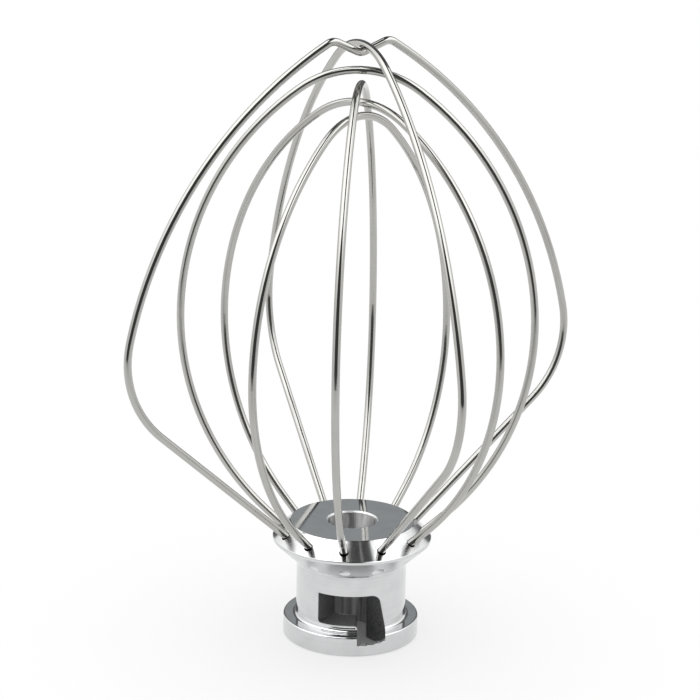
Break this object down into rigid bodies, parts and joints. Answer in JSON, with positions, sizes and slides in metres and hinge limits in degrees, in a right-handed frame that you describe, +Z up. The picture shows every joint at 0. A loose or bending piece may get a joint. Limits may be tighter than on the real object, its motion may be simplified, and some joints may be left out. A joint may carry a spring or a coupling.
{
  "type": "wire whisk for a stand mixer",
  "caption": "Balloon whisk of bent steel wire loops seated in a cast aluminium hub with a shaft bore and a J-shaped pin slot.",
  "frame": {"origin": "middle of the hub's bottom face, on the axis of the shaft bore", "axes": "+Z up along the shaft towards the crown of the loops, -Y towards the pin slot"},
  "size_m": [0.1134, 0.1134, 0.1572],
  "materials": {
    "cast_aluminium": "polished top face and flange, satin neck",
    "steel_wire": "bright drawn stainless wire"
  },
  "bodies": {
    "root": {"hub": "cast_aluminium", "outer_loop_dipped": "steel_wire", "outer_loop_arched": "steel_wire", "inner_loop_1": "steel_wire", "inner_loop_2": "steel_wire", "inner_loop_3": "steel_wire", "inner_loop_4": "steel_wire"}
  },
  "joints": []
}
